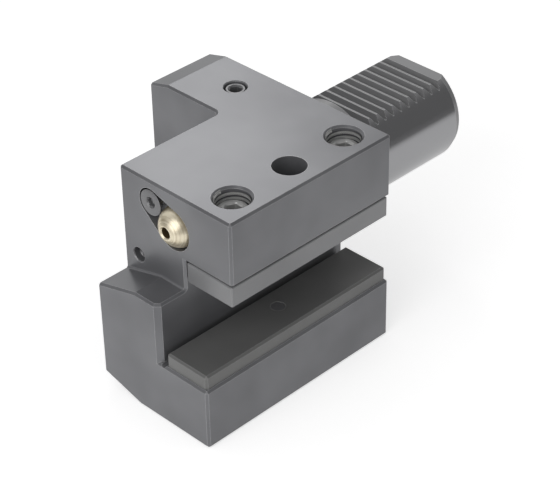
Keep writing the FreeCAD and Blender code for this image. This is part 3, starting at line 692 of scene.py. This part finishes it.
# %% Tree: winding ridge
ridge_tree, ridge_in, ridge_out = new_tree("winding_ridge", {
    "Radius": 5.0 * MM, "Reach": 0.9 * MM, "Foot": 1.2 * MM, "Crest": 0.3 * MM, "Pitch": 1.75 * MM,
    "Turns": 6.0, "Start": 0.0, "Fade": 0.12, "Points Per Turn": 48})
ridge_rise = arithmetic(ridge_tree, "MULTIPLY", ridge_in["Pitch"], ridge_in["Turns"])
ridge_path = add_node(ridge_tree, "GeometryNodeCurveSpiral", Resolution=ridge_in["Points Per Turn"],
                      Rotations=ridge_in["Turns"], Start_Radius=ridge_in["Radius"],
                      End_Radius=ridge_in["Radius"], Height=ridge_rise)
ridge_upright = add_node(ridge_tree, "GeometryNodeSetCurveNormal", mode="Z_UP", Curve=ridge_path)
ridge_along = add_node(ridge_tree, "GeometryNodeSplineParameter")
ridge_left = arithmetic(ridge_tree, "SUBTRACT", 1.0, ridge_along)
ridge_near_end = arithmetic(ridge_tree, "MINIMUM", ridge_along, ridge_left)
ridge_fade = arithmetic(ridge_tree, "DIVIDE", ridge_near_end, ridge_in["Fade"], clamp=True)
ridge_width = add_node(ridge_tree, "GeometryNodeSetCurveRadius", Curve=ridge_upright, Radius=ridge_fade)
ridge_section = add_node(ridge_tree, "GeometryNodeCurvePrimitiveQuadrilateral", mode="TRAPEZOID", Offset=0.0,
                         Bottom_Width=ridge_in["Foot"], Top_Width=ridge_in["Crest"], Height=ridge_in["Reach"])
ridge_half = arithmetic(ridge_tree, "MULTIPLY", ridge_in["Reach"], 0.5)
ridge_shift = add_node(ridge_tree, "ShaderNodeCombineXYZ", Y=ridge_half)
ridge_lifted = add_node(ridge_tree, "GeometryNodeTransform", Geometry=ridge_section, Translation=ridge_shift)
ridge_turned = add_node(ridge_tree, "GeometryNodeTransform", Geometry=ridge_lifted,
                        Rotation=(0, 0, math.radians(90)))
ridge_sweep = add_node(ridge_tree, "GeometryNodeCurveToMesh", Curve=ridge_width, Profile_Curve=ridge_turned,
                       Fill_Caps=True)
ridge_base = add_node(ridge_tree, "ShaderNodeCombineXYZ", Z=ridge_in["Start"])
ridge_raised = add_node(ridge_tree, "GeometryNodeTransform", Geometry=ridge_sweep, Translation=ridge_base)
end_tree(ridge_tree, ridge_raised, ridge_in, ridge_out)

test_ridge = grown("test_ridge", ridge_tree, Radius=5.0 * MM, Material=screw_steel)
test_reach = [math.hypot(v.co.x, v.co.y) for v in test_ridge.data.vertices]
print("ridge from", round(min(test_reach), 5), "to", round(max(test_reach), 5),
      "faces", len(test_ridge.data.polygons))
bpy.data.objects.remove(test_ridge)

# %% [markdown]
# ### Cutting a thread
# A real thread is cut into a blank that already has its end bevels, so the ridge is clipped by those bevels.
# The same is done here: every point of the ridge is pulled back to the cone of the bevel where it would stand
# outside it. The ridge then joins the turned core in one mesh.


# %% Thread joined to a turned core
def placed(at, along, across):
    """The matrix that stands a shape made round Z at a point, along a direction."""
    side = Vector(along).cross(Vector(across))
    turn = Matrix((Vector(across), side, Vector(along))).transposed().to_4x4()
    return Matrix.Translation(Vector(at)) @ turn


def add_ridge(vertices, faces, matrix, clip, **sizes):
    """Sweeps one thread, clips its radius as clip(height) says, and appends it to the lists."""
    ridge = grown("ridge", ridge_tree, **sizes)
    start = len(vertices)
    for vertex in ridge.data.vertices:
        point = vertex.co.copy()
        reach = math.hypot(point.x, point.y)
        low, high = clip(point.z)
        wanted = min(max(reach, low), high)
        if wanted != reach:
            point.x *= wanted / reach
            point.y *= wanted / reach
        vertices.append(matrix @ point)
    for face in ridge.data.polygons:
        faces.append(tuple(start + i for i in face.vertices))
    bpy.data.objects.remove(ridge)


FLANK = math.tan(math.radians(30))
CREST_SHARE = 0.2
ROOT_OVERLAP = 0.05 * MM


def thread_foot(radius, root, pitch):
    """Width of a thread's ridge where it leaves the core."""
    return pitch * CREST_SHARE + 2 * (radius - root) * FLANK


def outer_thread(vertices, faces, matrix, radius, root, pitch, length, clip):
    """A thread on a screw, from the tip up to a length."""
    foot = thread_foot(radius, root, pitch)
    add_ridge(vertices, faces, matrix, clip, Radius=root - ROOT_OVERLAP, Reach=radius - root + ROOT_OVERLAP,
              Crest=pitch * CREST_SHARE, Foot=foot, Pitch=pitch, Turns=(length - foot) / pitch,
              Start=foot / 2, Fade=0.03)


def stand_for(node, body, name, vertices, faces, material):
    """A screw's new mesh, which stands for a node of the frame and moves with a body."""
    piece = new_piece(name, vertices, faces, material)
    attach(piece, body)
    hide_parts(node)
    low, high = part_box(node)
    grew = max(max(low[i] - min(v[i] for v in vertices), max(v[i] for v in vertices) - high[i])
               for i in range(3))
    print(name, "faces", len(faces), "leaves its solid's box by", round(grew / MM, 3), "mm")


def threaded_piece(name, node, body, material, at, along, across, stations, **thread):
    """A turned piece with its thread, standing for a node of the frame."""
    vertices, faces = turned_mesh(stations, at, along, across)
    outer_thread(vertices, faces, placed(at, along, across), **thread)
    stand_for(node, body, name, vertices, faces, material)


print("a thread's crest takes", CREST_SHARE, "of its pitch")

# %% [markdown]
# ## Clamp screws
# Two headless screws press the bar down on the tool. They are M12 with a 6 mm hexagon socket. Their tops lie
# about four millimetres below the block's top, so what the photograph shows of each is the bevelled end and
# the socket. Height is measured here from the screw's tip.

# %% Clamp screws
X, Y, Z = Vector((1, 0, 0)), Vector((0, 1, 0)), Vector((0, 0, 1))
ROW_X = 31.8 * MM
CLAMP_Y = {"front": -61.0 * MM, "rear": -11.0 * MM}
CLAMP_R = 5.93 * MM
CLAMP_ROOT = 5.15 * MM
CLAMP_PITCH = 1.75 * MM
CLAMP_TIP_R = 4.25 * MM
CLAMP_TOP_R = 4.9 * MM
CLAMP_CORE = 1.0 * MM
CLAMP_KEY, CLAMP_KEY_DEPTH = 6.0 * MM, 7.0 * MM


def clamp_clip(length):
    """Bevels at the tip and at the top, as limits of the radius at a height."""
    def limits(height):
        return 0.0, max(CLAMP_CORE, min(CLAMP_R, CLAMP_TIP_R + height, CLAMP_TOP_R + (length - height)))
    return limits


for place, y in CLAMP_Y.items():
    node = "clamp_screw_" + place
    low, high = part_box(node)
    length = high.z - low.z
    stations = [(0, 0, circle), (CLAMP_TIP_R, 0, circle), (CLAMP_ROOT, CLAMP_ROOT - CLAMP_TIP_R, circle),
                (CLAMP_ROOT, length - (CLAMP_ROOT - CLAMP_TOP_R), circle), (CLAMP_TOP_R, length, circle)]
    stations += socket(CLAMP_KEY, length, CLAMP_KEY_DEPTH)
    threaded_piece(node + "_threaded", node, place + "_screw", painted_light_thread_metal, (ROW_X, y, low.z), Z, X, stations,
                   radius=CLAMP_R, root=CLAMP_ROOT, pitch=CLAMP_PITCH, length=length, clip=clamp_clip(length))

# %% [markdown]
# ## Threads in the clamp holes
# Above the screws one sees the thread of the hole. It is the same ridge, pointing inwards, and it sits half a
# pitch away from the screw's ridge. Both wind at the same pitch, so when the screw turns and sinks, its ridge
# stays in the hole's groove at every pose.

# %% Threads in the clamp holes
HOLE_R = 6.05 * MM
HOLE_FOOT_R = HOLE_R + 0.02 * MM
HOLE_CREST = 5.3 * MM
HOLE_CREST_WIDTH = 0.4 * MM
HOLE_HIGH = 31.7 * MM
FLARE_Z = 31.75 * MM


def hole_clip(height):
    """The countersink at the mouth cuts the ridge back along a 45 degree cone."""
    cut = HOLE_R - (FLARE_Z - height) if height > FLARE_Z - HOLE_R + HOLE_CREST else 0.0
    return max(0.0, cut), HOLE_FOOT_R


for place, y in CLAMP_Y.items():
    vertices, faces = [], []
    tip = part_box("clamp_screw_" + place)[0].z
    start = tip + (thread_foot(CLAMP_R, CLAMP_ROOT, CLAMP_PITCH) + CLAMP_PITCH) / 2
    add_ridge(vertices, faces, placed((ROW_X, y, 0), Z, X), hole_clip, Radius=HOLE_FOOT_R,
              Reach=-(HOLE_FOOT_R - HOLE_CREST), Crest=HOLE_CREST_WIDTH,
              Foot=HOLE_CREST_WIDTH + 2 * (HOLE_R - HOLE_CREST) * FLANK, Pitch=CLAMP_PITCH,
              Turns=(HOLE_HIGH - start) / CLAMP_PITCH, Start=start, Fade=0.01)
    # The hole's thread belongs to the body but takes the lighter thread colour, a painted highlight inside the
    # hole.
    liner = new_piece("clamp_hole_thread_" + place, vertices, faces, painted_light_thread_metal)
    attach(liner, "holder")
    print(liner.name, "faces", len(faces))

# %% [markdown]
# ## Plugs and the nozzle's screw
# The coolant drillings end in plug screws with a hexagon socket. They are turned and threaded like the clamp
# screws. The nozzle's screw has a flat countersunk head, whose cone bears on the ball.

# %% Plugs
M5_R, M5_ROOT, M5_PITCH = 2.46 * MM, 2.05 * MM, 0.8 * MM
DRILLING_PLUG = dict(radius=3.95 * MM, root=3.4 * MM, pitch=1.0 * MM, length=8.0 * MM, key=4.0 * MM,
                     key_depth=4.0 * MM, bevel=0.3 * MM)
PORT_PLUG = dict(radius=M5_R, root=M5_ROOT, pitch=M5_PITCH, length=6.0 * MM, key=2.5 * MM,
                 key_depth=2.5 * MM, bevel=0.2 * MM)
PLUG_TOP_BEVEL = 0.2 * MM
PLUG_TOP_SLOPE = 1.2


def plug_piece(node, at, along, across, radius, root, pitch, length, key, key_depth, bevel):
    """Socketed plug. Its outer end lies at a point and faces along a direction."""
    def clip(height):
        return 0.0, min(radius, root - PLUG_TOP_BEVEL + (length - height) * PLUG_TOP_SLOPE, root + height)
    stations = [(0, 0, circle), (root - bevel, 0, circle), (root, bevel, circle),
                (root, length - bevel, circle), (root - bevel * 0.6, length, circle)]
    stations += socket(key, length, key_depth)
    start = Vector(at) - Vector(along) * length
    threaded_piece(node + "_threaded", node, "holder", screw_steel, start, along, across, stations,
                   radius=radius, root=root, pitch=pitch, length=length, clip=clip)


low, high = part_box("top_plug")
plug_piece("top_plug", ((low.x + high.x) / 2, (low.y + high.y) / 2, high.z), Z, X, **DRILLING_PLUG)
for node in ("side_plug_upper", "side_plug_lower"):
    low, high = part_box(node)
    plug_piece(node, (low.x, (low.y + high.y) / 2, (low.z + high.z) / 2), -X, Y, **DRILLING_PLUG)
low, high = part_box("front_plug")
plug_piece("front_plug", ((low.x + high.x) / 2, low.y, (low.z + high.z) / 2), -Y, X, **PORT_PLUG)

# %% Nozzle screw
low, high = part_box("nozzle_screw")
SCREW_AT = Vector(((low.x + high.x) / 2, high.y, (low.z + high.z) / 2))
SCREW_LENGTH = high.y - low.y
HEAD_R = (high.x - low.x) / 2
TIP_BEVEL = 0.3 * MM
HEAD_RIM, HEAD_RIM_TOP, HEAD_EDGE = 0.12 * MM, 0.04 * MM, 0.2 * MM
RUN_OUT = 0.3 * MM
cone = HEAD_R - M5_ROOT
stations = [(0, 0, circle), (M5_ROOT - TIP_BEVEL, 0, circle), (M5_ROOT, TIP_BEVEL, circle),
            (M5_ROOT, SCREW_LENGTH - cone, circle), (HEAD_R - HEAD_RIM, SCREW_LENGTH - HEAD_RIM, circle),
            (HEAD_R - HEAD_RIM, SCREW_LENGTH - HEAD_RIM_TOP, circle),
            (HEAD_R - HEAD_EDGE, SCREW_LENGTH, circle)]
stations += socket(3.0 * MM, SCREW_LENGTH, 1.8 * MM)
threaded_piece("nozzle_screw_countersunk", "nozzle_screw", "nozzle_screw", screw_steel,
               SCREW_AT, -Y, X, stations, radius=M5_R, root=M5_ROOT, pitch=M5_PITCH,
               length=SCREW_LENGTH - cone - RUN_OUT, clip=lambda height: (0.0, M5_R))

# %% [markdown]
# ## Cap screws with a knurled head
# One cap screw carries the bar and one holds the support plate from below. Their round heads are knurled, so
# that fingers can spin them. The ribs of a knurl repeat round a circle, so they are instances: one thin bar
# with a square section, set on each point of a circle. The end of the plate's screw shows flush in the plate
# as a full disc, so it has a short ground tip without a thread.

# %% Tree: ring of ribs
rib_tree, rib_in, rib_out = new_tree("ring_of_ribs", {
    "Radius": 5.0 * MM, "Rib Radius": 0.2 * MM, "Height": 5.0 * MM, "Middle": 0.0, "Ribs": 40})
rib_ring = add_node(rib_tree, "GeometryNodeMeshCircle", Vertices=rib_in["Ribs"], Radius=rib_in["Radius"])
rib_bar = add_node(rib_tree, "GeometryNodeMeshCylinder", Vertices=4, Radius=rib_in["Rib Radius"],
                   Depth=rib_in["Height"])
rib_where = add_node(rib_tree, "GeometryNodeInputPosition")
rib_turn = add_node(rib_tree, "FunctionNodeAlignEulerToVector", axis="X", Vector=rib_where)
rib_set = add_node(rib_tree, "GeometryNodeInstanceOnPoints", Points=rib_ring, Instance=rib_bar,
                   Rotation=rib_turn)
rib_level = add_node(rib_tree, "ShaderNodeCombineXYZ", Z=rib_in["Middle"])
rib_raised = add_node(rib_tree, "GeometryNodeTransform", Geometry=rib_set, Translation=rib_level)
end_tree(rib_tree, rib_raised, rib_in, rib_out)


# %% Cap screws
BAR_SCREW_Y = -36.0 * MM
PLATE_SCREW_X, PLATE_SCREW_Y = 31.0 * MM, -41.5 * MM
RIB = 0.16 * MM
RIBS = 44
KNURL_MARGIN, KNURL_DROP = 1.4 * MM, 0.25 * MM
CAP_BEVEL_HEIGHT, CAP_BEVEL_WIDTH = 0.5 * MM, 0.45 * MM
TIP_EDGE = 0.05 * MM


def cap_screw(node, body, at, along, across, length, radius, root, pitch, head_r, head_height, key, key_depth,
              shank_from, ground_tip=0.0):
    """Knurled cap screw. Its tip stands at a point and its head looks along a direction."""
    neck = length - head_height
    drum = head_r - RIB
    stations = [(0, 0, circle), (root - TIP_BEVEL, 0, circle), (root, TIP_BEVEL, circle)]
    if ground_tip:
        stations = [(0, 0, circle), (radius - TIP_EDGE, 0, circle), (radius, TIP_EDGE, circle),
                    (radius, ground_tip, circle), (root, ground_tip, circle)]
    stations += [(root, shank_from, circle), (radius, shank_from + (radius - root), circle),
                 (radius, neck, circle), (drum, neck, circle), (drum, length - CAP_BEVEL_HEIGHT, circle),
                 (drum - CAP_BEVEL_WIDTH, length, circle)]
    stations += socket(key, length, key_depth)
    vertices, faces = turned_mesh(stations, at, along, across)
    stand = placed(at, along, across)
    outer_thread(vertices, faces, stand, radius, root, pitch, shank_from,
                 lambda height: (0.0, min(radius, root - TIP_BEVEL + height)))
    knurl = grown("knurl", rib_tree, Radius=drum, Rib_Radius=RIB, Ribs=RIBS, Height=head_height - KNURL_MARGIN,
                  Middle=neck + head_height / 2 - KNURL_DROP, Material=screw_steel)
    first = len(vertices)
    vertices += [stand @ v.co for v in knurl.data.vertices]
    faces += [tuple(first + i for i in face.vertices) for face in knurl.data.polygons]
    bpy.data.objects.remove(knurl)
    stand_for(node, body, node + "_knurled", vertices, faces, screw_steel)


low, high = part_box("bar_screw")
cap_screw("bar_screw", "clamp_bar", (ROW_X, BAR_SCREW_Y, low.z), Z, X, high.z - low.z,
          radius=2.96 * MM, root=2.5 * MM, pitch=1.0 * MM, head_r=5.0 * MM, head_height=6.0 * MM,
          key=5.0 * MM, key_depth=3.0 * MM, shank_from=6.6 * MM)
low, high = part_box("plate_screw")
cap_screw("plate_screw", "holder", (PLATE_SCREW_X, PLATE_SCREW_Y, high.z), -Z, X, high.z - low.z,
          radius=M5_R, root=M5_ROOT, pitch=M5_PITCH, head_r=4.25 * MM, head_height=5.0 * MM,
          key=4.0 * MM, key_depth=2.5 * MM, shank_from=12.0 * MM, ground_tip=0.8 * MM)

# %% [markdown]
# ## Lift spring
# A short spring under the bar screw's head lifts the clamp bar off the tool. Its wire follows a helix whose
# ends are closed, which means that the last half turn at each end hardly rises.

# %% Tree: wound spring
coil_tree, coil_in, coil_out = new_tree("wound_spring", {
    "Coil Radius": 4.0 * MM, "Wire Radius": 0.4 * MM, "Rise": 5.0 * MM, "Turns": 3.5})
coil_path = add_node(coil_tree, "GeometryNodeCurveSpiral", Resolution=40, Rotations=coil_in["Turns"],
                     Start_Radius=coil_in["Coil Radius"], End_Radius=coil_in["Coil Radius"],
                     Height=coil_in["Rise"])
coil_along = add_node(coil_tree, "GeometryNodeSplineParameter")
coil_eased = eased(coil_tree, coil_along, 0.0, 1.0, 0.0, 1.0)
coil_share = arithmetic(coil_tree, "SUBTRACT", coil_eased, coil_along)
coil_lift = arithmetic(coil_tree, "MULTIPLY", coil_share, coil_in["Rise"])
coil_shift = add_node(coil_tree, "ShaderNodeCombineXYZ", Z=coil_lift)
coil_closed = add_node(coil_tree, "GeometryNodeSetPosition", Geometry=coil_path, Offset=coil_shift)
coil_section = add_node(coil_tree, "GeometryNodeCurvePrimitiveCircle", Resolution=14,
                        Radius=coil_in["Wire Radius"])
coil_wire = add_node(coil_tree, "GeometryNodeCurveToMesh", Curve=coil_closed, Profile_Curve=coil_section,
                     Fill_Caps=True)
end_tree(coil_tree, coil_wire, coil_in, coil_out)

# %% Lift spring
WIRE_R, COIL_R = 0.36 * MM, 4.4 * MM
spring_low, spring_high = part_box("lift_spring")
coil = grown("coil", coil_tree, Coil_Radius=COIL_R, Wire_Radius=WIRE_R, Turns=3.5,
             Rise=spring_high.z - spring_low.z - 2 * WIRE_R, Material=spring_steel)
spring_foot = Vector((ROW_X, BAR_SCREW_Y, spring_low.z + WIRE_R))
spring = new_piece("lift_spring_wound", [v.co + spring_foot for v in coil.data.vertices],
                   [tuple(f.vertices) for f in coil.data.polygons], spring_steel)
bpy.data.objects.remove(coil)
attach(spring, "holder")
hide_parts("lift_spring")
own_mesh(spring)
print("spring from", round(spring_low.z, 5), "to", round(spring_high.z, 5))
